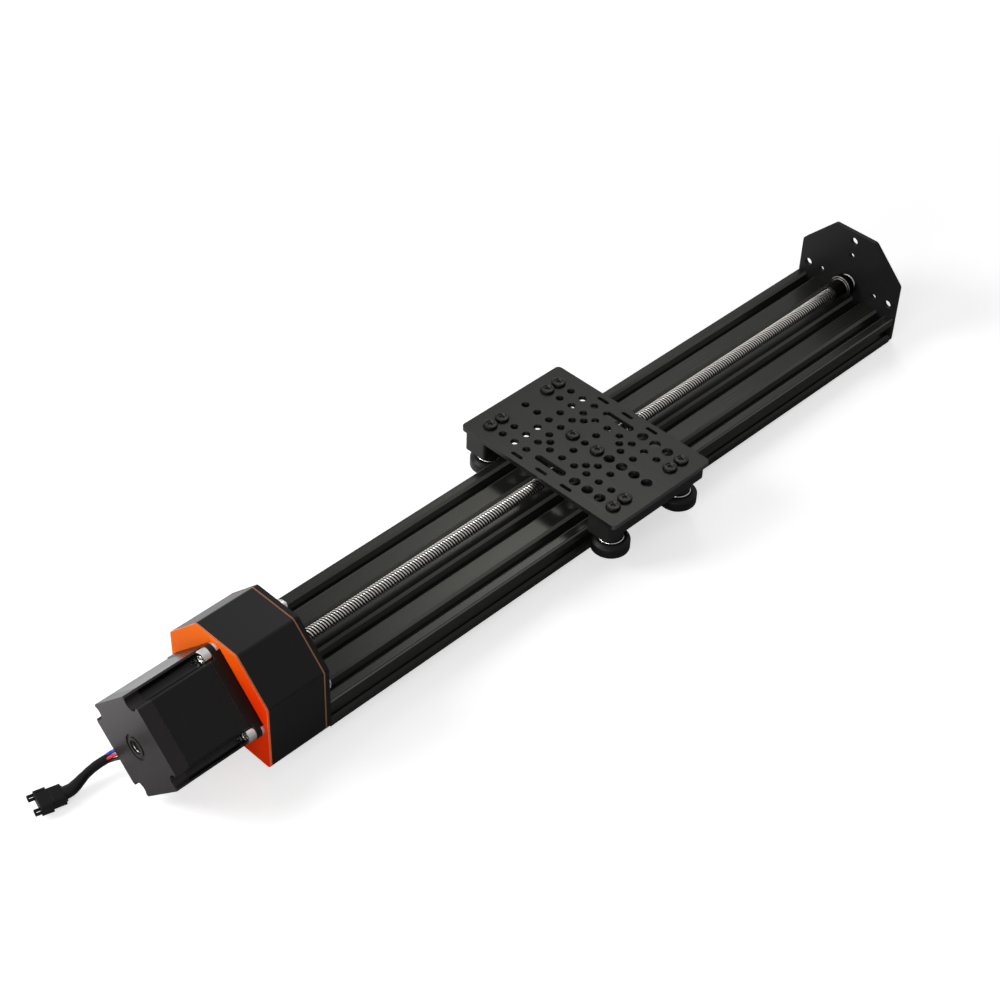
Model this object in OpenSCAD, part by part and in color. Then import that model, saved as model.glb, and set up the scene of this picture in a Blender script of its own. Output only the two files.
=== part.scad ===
// Screw-driven linear module: a slotted aluminium beam carries a wheeled gantry plate,
// which a lead screw moves; a stepper motor turns the screw through a flexible coupling.
// Millimetres. X runs along the beam towards the free end, Z is up, and the origin is at
// mid-length of the beam, on the centre line of its underside.

/* [Beam] */
// Length of the slotted beam
beam_len = 500; // [350:10:1000]
// Side of one square cell of the beam, which is also the beam's height
cell = 20; // [20:0.5:24]
// Number of cells side by side
beam_cells = 4; // [4:1:6]
// Radius of the beam's outer corners
beam_corner_r = 1.5; // [0.5:0.1:2]
// Width of a V slot at the surface
slot_open = 9.16; // [8.6:0.02:9.6]
// Width of the slot's neck
slot_neck = 6.2; // [5.6:0.1:6.6]
// Thickness of the lips beside the neck
slot_lip = 1.8; // [1.6:0.1:2.1]
// Width of the T-shaped cavity behind the lips
slot_inner = 11; // [10:0.1:11.4]
// Depth of the slot
slot_depth = 6.1; // [5.8:0.1:6.4]
// Width of the slot's floor
slot_floor = 5.7; // [5:0.1:6.2]
// Thickness of the slanted webs beside the hollows between cells
web_t = 1.6; // [1.2:0.1:2]
// Thickness of the outer walls over the hollows
skin_t = 1.8; // [1.4:0.1:2.2]
// Diameter of the bore in each cell's core
core_bore_d = 4.2; // [4:0.1:4.6]

/* [End plates and housing] */
// Thickness of the plate at the free end
far_plate_t = 3; // [2.5:0.5:5]
// Thickness of the plate at the motor end
near_plate_t = 3; // [2.5:0.5:4]
// Thickness of the coloured liner behind it
liner_t = 0.8; // [0.6:0.1:1.5]
// Thickness of the coloured plate that carries the motor
motor_plate_t = 1.2; // [1:0.1:1.5]
// Length of the housing shell between the liner and the motor plate
housing_len = 37.9; // [36:0.5:60]
// Wall of the housing shell
housing_wall = 1.8; // [1.2:0.1:2.1]
// Corner radius of the plates and of the shell
plate_corner_r = 3; // [2.5:0.5:5]
// Bolt square of a size 17 motor, drilled in the free end plate
small_square = 31; // [30:0.5:32]
// Diameter of the size 17 holes
small_motor_hole_d = 4; // [2.6:0.1:4.4]

/* [Screw] */
// Height of the screw's axis above the beam
screw_rise = 8.4; // [8.2:0.1:12]
// Outer diameter of the lead screw
screw_d = 8; // [7:0.5:8.5]
// Diameter of the journal in the free end bearing
journal_d = 6; // [5:0.5:6.5]
// Outer diameter of the free end bearing
far_bearing_d = 13; // [13:1:16]
// Outer diameter of the motor end bearing
near_bearing_d = 16; // [16:1:19]
// Width of both screw bearings
screw_bearing_w = 5; // [4:0.5:6]
// Outer diameter of the lock collars
collar_d = 16; // [15:0.5:16.2]
// Width of a lock collar
collar_w = 5; // [4.5:0.5:6]
// Length of the collar's nose, which reaches to the bearing
collar_nose = 2.5; // [1.5:0.5:3]
// Diameter of the collar's nose
nose_d = 10; // [9.6:0.1:10.3]
// Diameter of the far collar's hub, on its side towards the gantry
hub_d = 11; // [10:0.1:12]
// Length of that hub
hub_len = 11.5; // [6:0.5:12]
// Gap between the motor end's collar and the coupling
coupling_gap = 1; // [0.5:0.5:2]
// Outer diameter of the coupling
coupling_d = 18; // [16:0.5:22]
// Length of the coupling
coupling_len = 24; // [22:0.5:26]

/* [Motor] */
// Width across the motor's flats
motor_w = 56.4; // [55:0.2:60]
// Distance of the motor's bolt holes from its sides
motor_bolt_edge = 4.63; // [4:0.01:5.5]
// Length of the motor from its mounting face
motor_len = 56; // [50:1:80]
// Thickness of the mounting flange
flange_t = 5.5; // [4:0.5:6.5]
// Length of the front bell behind the flange
front_bell_len = 3; // [2:0.5:5]
// Corner radius of the mounting flange
flange_corner_r = 4.6; // [3:0.2:6]
// Length of the rear cap
rear_cap_len = 9; // [8:0.5:14]
// Outer diameter of the round groove in the rear face
rear_groove_d = 16; // [14:0.5:20]
// Width of that groove
rear_groove_w = 2; // [1:0.5:2.5]
// Diameter of the blind hole in the rear face
rear_hole_d = 8.6; // [7:0.1:9.5]
// How far the motor body's corner flats lie outside its bolt circle
corner_over = 0.167; // [0:0.001:2]
// Diameter of the pilot boss
pilot_d = 38.1; // [36:0.1:40]
// Height of the pilot boss
pilot_h = 1.6; // [1.5:0.1:2]
// Diameter of the motor shaft
shaft_d = 6.35; // [5:0.05:8]
// Length of shaft in front of the mounting face
shaft_len = 20.6; // [19:0.1:21]
// Diameter of the rotor
rotor_d = 34; // [30:0.5:36]
// Outer diameter of the motor bearings
motor_bearing_d = 19; // [17:1:22]
// Width of the motor bearings
motor_bearing_w = 6; // [5:0.5:7]

/* [Fasteners] */
// Thread size of the structural bolts
bolt_d = 5; // [4:0.5:5]
// Diameter of a cap head
cap_d = 8.5; // [8:0.1:9]
// Height of a cap head
cap_h = 5; // [4:0.5:6]
// Diameter of a low head
low_d = 9; // [8.6:0.1:9.6]
// Height of a low head
low_h = 2.4; // [2:0.1:3]
// Width across the flats of a nut
nut_af = 8; // [7:0.1:8.5]
// Height of a nut
nut_h = 4; // [3:0.5:4.4]
// Height of the round collar that holds a lock nut's plastic ring
nut_collar_h = 1.2; // [0.8:0.1:1.6]
// Width across the flats of a hexagon socket
socket_af = 4; // [3:0.1:4.2]
// Outer diameter of the standoffs in the housing
standoff_d = 8.5; // [7:0.1:8.7]
// Least gap between the standoffs and the housing shell
standoff_gap = 0.4; // [0.2:0.1:0.6]
// Length of thread that the end plates' screws have in the beam's cores
core_thread_len = 14; // [10:1:20]

/* [Gantry] */
// Rest position of the gantry plate's centre along the beam
carriage_x = -9; // [-60:1:60]
// Length of the gantry plate along the beam
gantry_len = 86; // [84:1:110]
// Width of the gantry plate across the beam
gantry_w = 126; // [124:1:150]
// Thickness of the gantry plate
gantry_t = 3; // [2.5:0.5:6]
// Corner radius of the gantry plate
gantry_corner_r = 3; // [1:0.5:6]
// Height of the plate's underside above the screw's axis
gantry_rise = 6.1; // [6:0.1:8]
// Spacing of the hole grid
grid = 10; // [9.8:0.1:10.4]
// Diameter of the small grid holes
hole_s = 5.1; // [4.6:0.1:5.6]
// Diameter of the large grid holes
hole_l = 7.2; // [6.6:0.1:7.6]
// Offset of the diagonal holes from the plate's centre
diag_hole = 14.7; // [14.5:0.1:15]
// Length of the long slots
slot_len = 24; // [22:0.5:26]
// Length of the short slots near the ends
short_slot_len = 9; // [7:0.5:11]
// Width of the short slots
short_slot_w = 2.6; // [2:0.2:3]
// Distance of the short slots from the plate's centre
short_slot_x = 38; // [37.6:0.1:38.4]
// Length of the nut block along the screw
nut_len = 33; // [26:1:40]
// Width of the nut block
nut_w = 34; // [30:1:36]
// Height of the nut block
nut_block_h = 12; // [11.8:0.1:12.6]
// Distance of the nut block's bolts from the screw's axis
nut_bolt_y = 10; // [9:0.5:12]

/* [Wheels] */
// Diameter over the wheel's crest
wheel_d = 23.9; // [22:0.1:25]
// Width of the wheel
wheel_w = 10.2; // [9.6:0.1:10.6]
// Width of the wheel's crest
wheel_crest = 5.9; // [5.5:0.1:6.3]
// Distance between the axles along the beam
wheel_base = 60; // [58:1:62]
// Distance from an axle to the second bolt of the bar
bar_bolt_in = 10; // [9.6:0.2:12]
// Outer diameter of the wheel bearings
wheel_bearing_d = 16; // [15:0.5:16.5]
// Width of a wheel bearing
wheel_bearing_w = 5; // [4:0.5:5]
// Outer diameter of the bearings' inner rings
inner_ring_d = 8; // [7.5:0.1:8.4]
// Radial thickness of the bearings' outer rings
outer_ring_t = 1.5; // [1.2:0.1:1.8]
// Thickness of the shim between a wheel's bearings
shim_t = 1; // [0.6:0.1:1.2]
// Width of the bars that carry the wheels
bar_w = 17; // [16.5:0.1:17.4]
// Height of the bars
bar_h = 12.3; // [10:0.1:13]
// Radius of the bars' corners
bar_corner_r = 2; // [1:0.5:4]
// Diameter of the round foot over each wheel
foot_d = 15; // [13:0.5:16.5]
// Gap between a foot and the wheel bearing, bridged by a narrow nose
foot_gap = 1; // [0.6:0.1:1.5]

/* [Fits] */
// Radial clearance of a running fit
run_gap = 0.05; // [0.02:0.01:0.08]
// Radial clearance of a bolt in its hole
bolt_gap = 0.25; // [0.15:0.05:0.3]
// Clearance between each wheel and the beam, measured across the beam
wheel_gap = 0.3; // [0.2:0.05:0.4]
// Air gap between rotor and stator
air_gap = 0.3; // [0.2:0.05:0.5]

/* [Hidden] */
$fn = 64;
black = [0.12, 0.12, 0.11];
plastic = [0.07, 0.07, 0.07];
orange = [0.93, 0.33, 0.05];
steel = [0.74, 0.73, 0.71];
grey = [0.32, 0.31, 0.31];
cut = 0.1;                                  // how far a cutting solid runs past a face

// Beam
beam_w = cell * beam_cells;
beam_h = cell;
core_y = [for (i = [0:beam_cells - 1]) (i - (beam_cells - 1) / 2) * cell];
joint_y = [for (i = [1:beam_cells - 1]) (i - beam_cells / 2) * cell];

// Stations along X, from the free end to the motor's rear
far_x = beam_len / 2;
far_out_x = far_x + far_plate_t;
near_x = -beam_len / 2;
liner_x = near_x - near_plate_t;
shell_x = liner_x - liner_t;
motor_plate_x = shell_x - housing_len;
face_x = motor_plate_x - motor_plate_t;
flange_x = face_x - flange_t;
bell_x = flange_x - front_bell_len;
rear_x = face_x - motor_len;
cap_x = rear_x + rear_cap_len;

// Plates and the bolt circle of the motor
screw_z = beam_h + screw_rise;
bolt_r = (motor_w - 2 * motor_bolt_edge) / sqrt(2);
shell_reach = bolt_r + standoff_d / 2 + standoff_gap + housing_wall;
apothem = max(beam_w / 2, shell_reach);     // the plates are as wide as the beam and the shell need
half_side = apothem * tan(22.5);
corner_flat = bolt_r + corner_over;
small_r = small_square / sqrt(2);
hole_d = bolt_d + 2 * bolt_gap;

// Screw line
far_bearing_x = far_x + (far_plate_t - screw_bearing_w) / 2 + 0.5;
near_bearing_x = (near_x + shell_x - screw_bearing_w) / 2;
far_collar_x = far_bearing_x - collar_nose - collar_w;
near_collar_x = near_bearing_x - collar_nose - collar_w;
coupling_x = near_collar_x - coupling_gap - coupling_len;
shaft_end_x = face_x + shaft_len;
screw_start_x = shaft_end_x + 0.5;
screw_end_x = far_bearing_x + screw_bearing_w + 0.4;
bell_depth = motor_bearing_w + 1;           // depth of the hubs that hold the bearings
rotor_x = cap_x + bell_depth + 1.5;
rotor_len = flange_x - bell_depth - 1.5 - rotor_x;
stator_bore = rotor_d + 2 * air_gap;
mid_ring_d = shaft_d + 3;                   // outer diameter of the motor's inner rings
set_d = 3;                                  // set screws of the collars and the coupling

// Gantry
gantry_z = screw_z + gantry_rise;
gantry_top = gantry_z + gantry_t;
wheel_y = beam_w / 2 + wheel_d / 2 - (slot_open - wheel_crest) / 2 + wheel_gap;
wheel_z = beam_h / 2;
stack = wheel_bearing_w + shim_t / 2;       // half height of a wheel's bearing stack
foot_z = wheel_z + stack + foot_gap;
bar_z = gantry_z - bar_h;
wheels = [[-1, 1], [1, 1], [-1, -1], [1, -1]];
low_socket = 1.4;                           // depth of the socket in a low head

// Rows of the hole grid: [row, [columns]], counted from the plate's centre
small_rows = [
    [-4, [-2, 2]], [-3, [-2, -1, 1, 2]], [-2, [-2, -1, 1, 2]], [-1, [-2, 2]],
    [0, [-2, -1, 0, 1, 2]], [1, [-2, 2]], [2, [-3, -2, -1, 0, 1, 2, 3]],
    [3, [-3, -2, -1, 0, 1, 2, 3]], [4, [-3, -2, 0, 2, 3]], [5, [0]]
];
large_rows = [[-5, [0]], [-4, [-3, 0, 3]], [-3, [-3, 0, 3]], [-2, [-3, 0, 3]]];

// Motor cable, from the lower left flat of the motor's rear cap to its connector on the surface
// below. Its points are counted from where it leaves the flat, and the middle of the
// connector's rear edge from the cable's end.
cable_d = 5.2;
cable_sides = 8;
cable_in = 5.4;                             // distance of the exit from the rear face
cable_up = 3;                               // offset of the exit from the flat's middle
grommet = [9, 8, 1.6];
cable_exit = [
    rear_x + cable_in, (motor_w / 2 - cable_up) * sqrt(0.5), screw_z - (motor_w / 2 + cable_up) * sqrt(0.5)
];
cable_route = [
    [0, 0.481, -0.438], [-0.2, 1.981, -2.138], [-1.2, 4.581, -4.338], [-3.8, 6.981, -5.738],
    [-7.5, 8.481, -6.938], [-12.5, 9.581, -8.238], [-17.5, 9.981, -9.538], [-22.5, 9.581, -10.738],
    [-27, 8.781, -11.638], [-31, 8.281, -12.138], [-35, 8.781, -12.338], [-36.5, 9.181, -12.338]
];
cable_points = [for (p = cable_route) cable_exit + p];
connector_at = cable_points[len(cable_points) - 1] + [1.2, -0.3, 0];
connector_turn = 164.6;                     // heading of the connector, from +X
connector_t = 6.4;
connector_w = [12.4, 15.8];                 // widths of its rear and front parts
connector_l = [8.5, 7.5];                   // lengths of the same
prong = [4, 3.8];                           // length and width of its latch prongs

// ---------------------------------------------------------------- helpers

// Draws a 2D outline across the screw's axis and extrudes it from x0 to x1
module across(x0, x1)
    translate([x0, 0, screw_z])
        rotate([90, 0, 90])
            linear_extrude(x1 - x0) children();

// Round bar on the screw's axis from x0 to x1
module axis_rod(x0, x1, d)
    across(x0, x1) circle(d = d);

// Ring on the screw's axis
module axis_ring(x0, x1, outer, inner)
    across(x0, x1)
        difference() {
            circle(d = outer);
            circle(d = inner);
        }

// Rounds the corners of a convex outline, given counter-clockwise
function unit(v) = v / norm(v);
module rounded(points, r) {
    n = len(points);
    legs = [for (i = [0:n - 1])
        [unit(points[(i + n - 1) % n] - points[i]), unit(points[(i + 1) % n] - points[i])]];
    half = [for (leg = legs) acos(leg[0] * leg[1]) / 2];
    polygon([for (i = [0:n - 1]) each [
        points[i] + legs[i][0] * r / tan(half[i]),
        points[i] + legs[i][1] * r / tan(half[i])]]);
    for (i = [0:n - 1])
        translate(points[i] + unit(legs[i][0] + legs[i][1]) * r / sin(half[i])) circle(r);
}

function box_points(x, y) = [[-x / 2, -y / 2], [x / 2, -y / 2], [x / 2, y / 2], [-x / 2, y / 2]];

// Puts copies at the motor bolts' places that the plates reach: right, top and left
module at_motor_bolts()
    for (a = [0, 90, 180]) rotate(a) translate([bolt_r, 0]) children();

// The octagonal outline shared by the plates and the shell, shrunk by inset
module plate_outline(inset = 0) {
    a = apothem - inset;
    h = a * tan(22.5);
    low = inset - screw_z;
    rounded([[a, low], [a, h], [h, a], [-h, a], [-a, h], [-a, low]],
        max(plate_corner_r - inset, 1));
}

// Bolt along +Z with its head's underside at z = 0 and its shank below
module bolt(head_d, head_h, shank, socket_depth)
    difference() {
        union() {
            cylinder(h = head_h, d = head_d);
            translate([0, 0, -shank]) cylinder(h = shank + cut, d = bolt_d);
        }
        translate([0, 0, head_h - socket_depth])
            cylinder(h = socket_depth + cut, d = socket_af / cos(30), $fn = 6);
    }

// Lock nut: a hexagon, then the round collar with the plastic ring
module nut()
    difference() {
        union() {
            cylinder(h = nut_h - nut_collar_h, d = nut_af / cos(30), $fn = 6);
            cylinder(h = nut_h, d = nut_af - 2 * bolt_gap);
        }
        translate([0, 0, -cut]) cylinder(h = nut_h + 2 * cut, d = bolt_d);
    }

// ---------------------------------------------------------------- beam

// Section of one V slot, cut down from the surface at y = 0
module slot_section() {
    bevel = (slot_open - slot_neck) / 2;
    slant = (slot_inner - slot_floor) / 2;
    right = [
        [slot_open / 2 + cut, cut], [slot_neck / 2, -bevel], [slot_neck / 2, -slot_lip],
        [slot_inner / 2, -slot_lip], [slot_inner / 2, slant - slot_depth],
        [slot_floor / 2, -slot_depth]
    ];
    left = [for (i = [len(right) - 1:-1:0]) [-right[i][0], right[i][1]]];
    polygon(concat(right, left));
}

// Closed hollow where two cells meet, bounded by the slanted webs of their slots
module joint_hollow() {
    slant = (slot_inner - slot_floor) / 2;
    corner = cell / 2 - slot_inner / 2 + cell / 2 - slot_depth + slant;
    reach = corner - web_t * sqrt(2);
    top = cell / 2 - skin_t;
    side = cell / 2 - core_bore_d / 2 - skin_t;
    polygon([
        [reach - top, top], [side, reach - side], [side, side - reach], [reach - top, -top],
        [top - reach, -top], [-side, side - reach], [-side, reach - side], [top - reach, top]
    ]);
}

module beam_section()
    difference() {
        rounded(box_points(beam_w, beam_h), beam_corner_r);
        for (y = core_y) translate([y, 0]) {
            circle(d = core_bore_d);
            for (a = [0, 180]) rotate(a) translate([0, beam_h / 2]) slot_section();
        }
        for (a = [90, -90]) rotate(a) translate([0, beam_w / 2]) slot_section();
        for (y = joint_y) translate([y, 0]) joint_hollow();
    }

module beam()
    color(black)
        translate([near_x, 0, beam_h / 2])
            rotate([90, 0, 90]) linear_extrude(beam_len) beam_section();

// ---------------------------------------------------------------- end plates and housing

// Holes for the screws that enter the beam's cores
module core_holes()
    for (y = core_y) translate([y, beam_h / 2 - screw_z]) circle(d = hole_d);

module far_end_plate()
    color(black)
        across(far_x, far_out_x)
            difference() {
                plate_outline();
                circle(d = far_bearing_d);
                at_motor_bolts() circle(d = hole_d);
                for (a = [0, 90, 180]) rotate(a) translate([small_r, 0]) circle(d = small_motor_hole_d);
                core_holes();
            }

module near_plate_shape(x0, x1)
    across(x0, x1)
        difference() {
            plate_outline();
            circle(d = near_bearing_d);
            at_motor_bolts() circle(d = hole_d);
            core_holes();
        }

module near_end_plate() color(black) near_plate_shape(liner_x, near_x);

module liner_plate() color(orange) near_plate_shape(shell_x, liner_x);

// Screw into a beam core: low head, plain neck through the plates, then the thread
module core_screw(neck)
    difference() {
        union() {
            cylinder(h = low_h, d = low_d);
            translate([0, 0, -neck]) cylinder(h = neck + cut, d = bolt_d);
            translate([0, 0, -neck - core_thread_len])
                cylinder(h = core_thread_len + cut, d = core_bore_d - run_gap);
        }
        translate([0, 0, low_h - low_socket])
            cylinder(h = low_socket + cut, d = socket_af / cos(30), $fn = 6);
    }

module far_plate_screws()
    color(steel)
        for (y = core_y)
            translate([far_out_x, y, beam_h / 2]) rotate([0, 90, 0]) core_screw(far_plate_t);

module near_plate_screws()
    color(steel)
        for (y = core_y)
            translate([shell_x, y, beam_h / 2])
                rotate([0, -90, 0]) core_screw(near_plate_t + liner_t);

module housing_shell()
    color(black)
        across(motor_plate_x, shell_x)
            difference() {
                plate_outline();
                plate_outline(housing_wall);
            }

module standoffs()
    color(steel)
        across(motor_plate_x, shell_x)
            at_motor_bolts()
                difference() {
                    circle(d = standoff_d);
                    circle(d = hole_d);
                }

module motor_plate()
    color(orange)
        across(face_x, motor_plate_x)
            difference() {
                plate_outline();
                circle(d = pilot_d + 2 * run_gap);
                at_motor_bolts() circle(d = hole_d);
            }

// ---------------------------------------------------------------- motor, turned on its corner

module motor_outline() rotate(45) square(motor_w, center = true);

// Body outline: corners cut by flats, each with a round groove for the bolt head
module body_outline()
    difference() {
        intersection() {
            motor_outline();
            square(2 * corner_flat, center = true);
        }
        for (a = [0:90:270])
            rotate(a) translate([bolt_r, 0]) circle(d = cap_d + 2 * bolt_gap + 0.4);
    }

module motor_flange()
    color(black)
        difference() {
            union() {
                across(flange_x, face_x)
                    rotate(45) rounded(box_points(motor_w, motor_w), flange_corner_r);
                across(bell_x, flange_x + cut) body_outline();
                axis_rod(face_x - cut, face_x + pilot_h, pilot_d);
                axis_rod(flange_x - bell_depth, flange_x + cut, stator_bore);
            }
            axis_rod(flange_x - bell_depth - cut, flange_x - 1, motor_bearing_d);
            axis_rod(flange_x - bell_depth, face_x + pilot_h + cut, mid_ring_d + 1);
            across(flange_x - cut, face_x + cut)
                for (a = [0:90:270]) rotate(a) translate([bolt_r, 0]) circle(d = hole_d);
        }

module motor_stator()
    color(black)
        across(cap_x, bell_x)
            difference() {
                body_outline();
                circle(d = stator_bore);
            }

module motor_rear_cap()
    color(grey)
        difference() {
            union() {
                across(rear_x, cap_x) body_outline();
                axis_rod(cap_x - cut, cap_x + bell_depth, stator_bore);
            }
            axis_rod(cap_x + 1, cap_x + bell_depth + cut, motor_bearing_d);
            axis_rod(rear_x + 3, cap_x + bell_depth, mid_ring_d + 1);
            // shallow round recess with a raised ring around a blind hole
            across(rear_x - cut, rear_x + 0.8)
                difference() {
                    circle(d = rear_groove_d);
                    circle(d = rear_groove_d - 2 * rear_groove_w);
                }
            axis_rod(rear_x - cut, rear_x + 2, rear_hole_d);
        }

module motor_bolts()
    color(steel)
        translate([flange_x, 0, screw_z])
            rotate([90, 0, 90])
                at_motor_bolts()
                    rotate([180, 0, 0]) bolt(cap_d, cap_h, near_x - flange_x + nut_h + 1, 3);

module motor_nuts()
    color(steel)
        translate([near_x, 0, screw_z])
            rotate([90, 0, 90]) at_motor_bolts() nut();

// ---------------------------------------------------------------- bearings that do not turn

module far_bearing_outer_ring()
    color(steel)
        axis_ring(far_bearing_x, far_bearing_x + screw_bearing_w, far_bearing_d,
            far_bearing_d - 2 * outer_ring_t + 0.5);

module near_bearing_outer_ring()
    color(steel)
        axis_ring(near_bearing_x, near_bearing_x + screw_bearing_w, near_bearing_d,
            near_bearing_d - 2 * outer_ring_t);

// A seal on each side of a bearing, set back a little from its faces
module seals(x, outer, inner)
    for (s = [0.3, screw_bearing_w - 1.1])
        axis_ring(x + s, x + s + 0.8, outer, inner + 2 * run_gap);

module far_bearing_seals()
    color(plastic)
        seals(far_bearing_x, far_bearing_d - 2 * outer_ring_t + 0.5, journal_d + 2);

module near_bearing_seals()
    color(plastic)
        seals(near_bearing_x, near_bearing_d - 2 * outer_ring_t, screw_d + 2.4);

module motor_bearing_outer_rings()
    color(steel)
        for (x = [flange_x - bell_depth, cap_x + 1])
            axis_ring(x, x + motor_bearing_w, motor_bearing_d, mid_ring_d + 2 * run_gap);

// ---------------------------------------------------------------- motor cable

// Places things on the motor's lower left flat
module on_cable_face()
    translate([rear_x + cable_in, 0, screw_z])
        rotate([-135, 0, 0])
            translate([0, cable_up, motor_w / 2]) children();

module cable_grommet()
    color(plastic)
        on_cable_face()
            linear_extrude(grommet[2]) rounded(box_points(grommet[0], grommet[1]), 2);

// Tube swept along points: one ring of vertices at each
module sweep(points, d, sides) {
    n = len(points);
    heading = [for (i = [0:n - 1])
        unit(points[min(i + 1, n - 1)] - points[max(i - 1, 0)])];
    rings = [for (i = [0:n - 1])
        let (side = unit(cross(heading[i], [0.3, 0.2, 1])), up = cross(side, heading[i]))
            for (k = [0:sides - 1])
                points[i] + d / 2 * (cos(360 * k / sides) * side + sin(360 * k / sides) * up)];
    walls = [for (i = [0:n - 2], k = [0:sides - 1])
        let (a = i * sides + k, b = i * sides + (k + 1) % sides)
            each [[a, b, a + sides], [b, b + sides, a + sides]]];
    polyhedron(rings, concat(
        [[for (k = [sides - 1:-1:0]) k]], walls, [[for (k = [0:sides - 1]) (n - 1) * sides + k]]));
}

module motor_cable() color(plastic) sweep(cable_points, cable_d, cable_sides);

module cable_connector()
    color(plastic)
        translate([connector_at[0], connector_at[1], connector_at[2] - connector_t / 2])
            rotate([0, 0, connector_turn]) {
                step = connector_l[0];
                front = step + connector_l[1];
                linear_extrude(connector_t)
                    polygon([
                        [0, -connector_w[0] / 2], [step, -connector_w[0] / 2],
                        [step, -connector_w[1] / 2], [front + prong[0], -connector_w[1] / 2],
                        [front + prong[0], prong[1] - connector_w[1] / 2],
                        [front, prong[1] - connector_w[1] / 2],
                        [front, connector_w[1] / 2 - prong[1]],
                        [front + prong[0], connector_w[1] / 2 - prong[1]],
                        [front + prong[0], connector_w[1] / 2], [step, connector_w[1] / 2],
                        [step, connector_w[0] / 2], [0, connector_w[0] / 2]
                    ]);
            }

// ---------------------------------------------------------------- screw line, which turns

module lead_screw()
    color(steel) {
        axis_rod(screw_start_x, far_bearing_x, screw_d);
        axis_rod(far_bearing_x - cut, screw_end_x, journal_d);
    }

// Lock collar: a hub of the given length, the collar, and a narrow nose towards the bearing
module collar(x0, hub)
    color(black)
        difference() {
            union() {
                axis_rod(x0 - hub, x0 + collar_w, hub_d);
                axis_rod(x0, x0 + collar_w, collar_d);
                axis_rod(x0, x0 + collar_w + collar_nose, nose_d);
            }
            axis_rod(x0 - hub - cut, x0 + collar_w + collar_nose + cut, screw_d);
            translate([x0 + collar_w / 2, 0, screw_z]) cylinder(h = collar_d, d = set_d);
        }

module far_collar() collar(far_collar_x, hub_len);

module near_collar() collar(near_collar_x, 0);

// Set screws reach from the screw or shaft to just under the surface
module set_screw(x, body_d, inner_d)
    translate([x, 0, screw_z + inner_d / 2])
        difference() {
            cylinder(h = (body_d - inner_d) / 2 - 0.4, d = set_d);
            translate([0, 0, (body_d - inner_d) / 2 - 1.6])
                cylinder(h = 2, d = 1.5 / cos(30), $fn = 6);
        }

module collar_set_screws()
    color(steel)
        for (x = [far_collar_x, near_collar_x]) set_screw(x + collar_w / 2, collar_d, screw_d);

module coupling()
    color(steel)
        difference() {
            axis_rod(coupling_x, coupling_x + coupling_len, coupling_d);
            axis_rod(coupling_x - cut, shaft_end_x + 0.25, shaft_d);
            axis_rod(shaft_end_x + 0.2, coupling_x + coupling_len + cut, screw_d);
            for (x = [coupling_x + 4, coupling_x + coupling_len - 4])
                translate([x, 0, screw_z]) cylinder(h = coupling_d, d = set_d);
            // grooves that let the middle flex, cut from alternate sides
            for (i = [-1:1])
                translate([coupling_x + coupling_len / 2 + 3 * i - 0.5,
                    -coupling_d / 2, screw_z + (i == 0 ? 0 : -coupling_d / 2)])
                    cube([1, coupling_d, coupling_d / 2]);
        }

module coupling_set_screws()
    color(grey) {
        set_screw(coupling_x + 4, coupling_d, shaft_d);
        set_screw(coupling_x + coupling_len - 4, coupling_d, screw_d);
    }

module motor_shaft() color(steel) axis_rod(rear_x + 4, shaft_end_x, shaft_d);

module rotor() color(grey) axis_ring(rotor_x, rotor_x + rotor_len, rotor_d, shaft_d);

module shaft_inner_rings()
    color(steel) {
        axis_ring(far_bearing_x, far_bearing_x + screw_bearing_w, journal_d + 2, journal_d);
        axis_ring(near_bearing_x, near_bearing_x + screw_bearing_w, screw_d + 2.4, screw_d);
        for (x = [flange_x - bell_depth, cap_x + 1])
            axis_ring(x, x + motor_bearing_w, mid_ring_d, shaft_d);
    }

// ---------------------------------------------------------------- gantry

// Puts copies on the gantry plate's plan, at its rest position
module on_gantry(z) translate([carriage_x, 0, z]) children();

// Slot with round ends, long in Y
module slot_2d(length, w)
    union() {
        square([w, length - w], center = true);
        for (s = [-1, 1]) translate([0, s * (length - w) / 2]) circle(d = w);
    }

module gantry_plate()
    color(black)
        on_gantry(gantry_z)
            linear_extrude(gantry_t)
                difference() {
                    rounded(box_points(gantry_len, gantry_w), gantry_corner_r);
                    for (row = small_rows, column = row[1])
                        translate([column, row[0]] * grid) circle(d = hole_s);
                    for (row = large_rows, column = row[1])
                        translate([column, row[0]] * grid) circle(d = hole_l);
                    for (i = [-1, 1], j = [-1, 1])
                        translate([i, j] * diag_hole) circle(d = hole_s);
                    for (i = [-1, 1]) {
                        translate([i * 3 * grid, 0]) slot_2d(slot_len, hole_s);
                        for (j = [-1:1])
                            translate([i * short_slot_x, j * 2 * grid])
                                slot_2d(short_slot_len, short_slot_w);
                        translate([0, i * nut_bolt_y]) circle(d = hole_d);
                        for (j = [-1, 1], x = [0, bar_bolt_in])
                            translate([i * (wheel_base / 2 - x), j * wheel_y]) circle(d = hole_d);
                    }
                }

// One bar carries both wheels of a side: a foot with a narrow nose stands over each wheel
module spacer_bar(side)
    color(black)
        on_gantry(0)
            difference() {
                union() {
                    translate([0, side * wheel_y, bar_z])
                        linear_extrude(bar_h)
                            rounded(box_points(gantry_len, bar_w), bar_corner_r);
                    for (i = [-1, 1]) translate([i * wheel_base / 2, side * wheel_y, 0]) {
                        translate([0, 0, foot_z]) cylinder(h = bar_z - foot_z + cut, d = foot_d);
                        translate([0, 0, wheel_z + stack])
                            cylinder(h = foot_gap + cut, d = inner_ring_d);
                    }
                }
                for (i = [-1, 1]) {
                    translate([i * wheel_base / 2, side * wheel_y, 0])
                        cylinder(h = gantry_top, d = hole_d);
                    translate([i * (wheel_base / 2 - bar_bolt_in), side * wheel_y, bar_z - cut])
                        cylinder(h = bar_h + 2 * cut, d = bolt_d);
                }
            }

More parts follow.
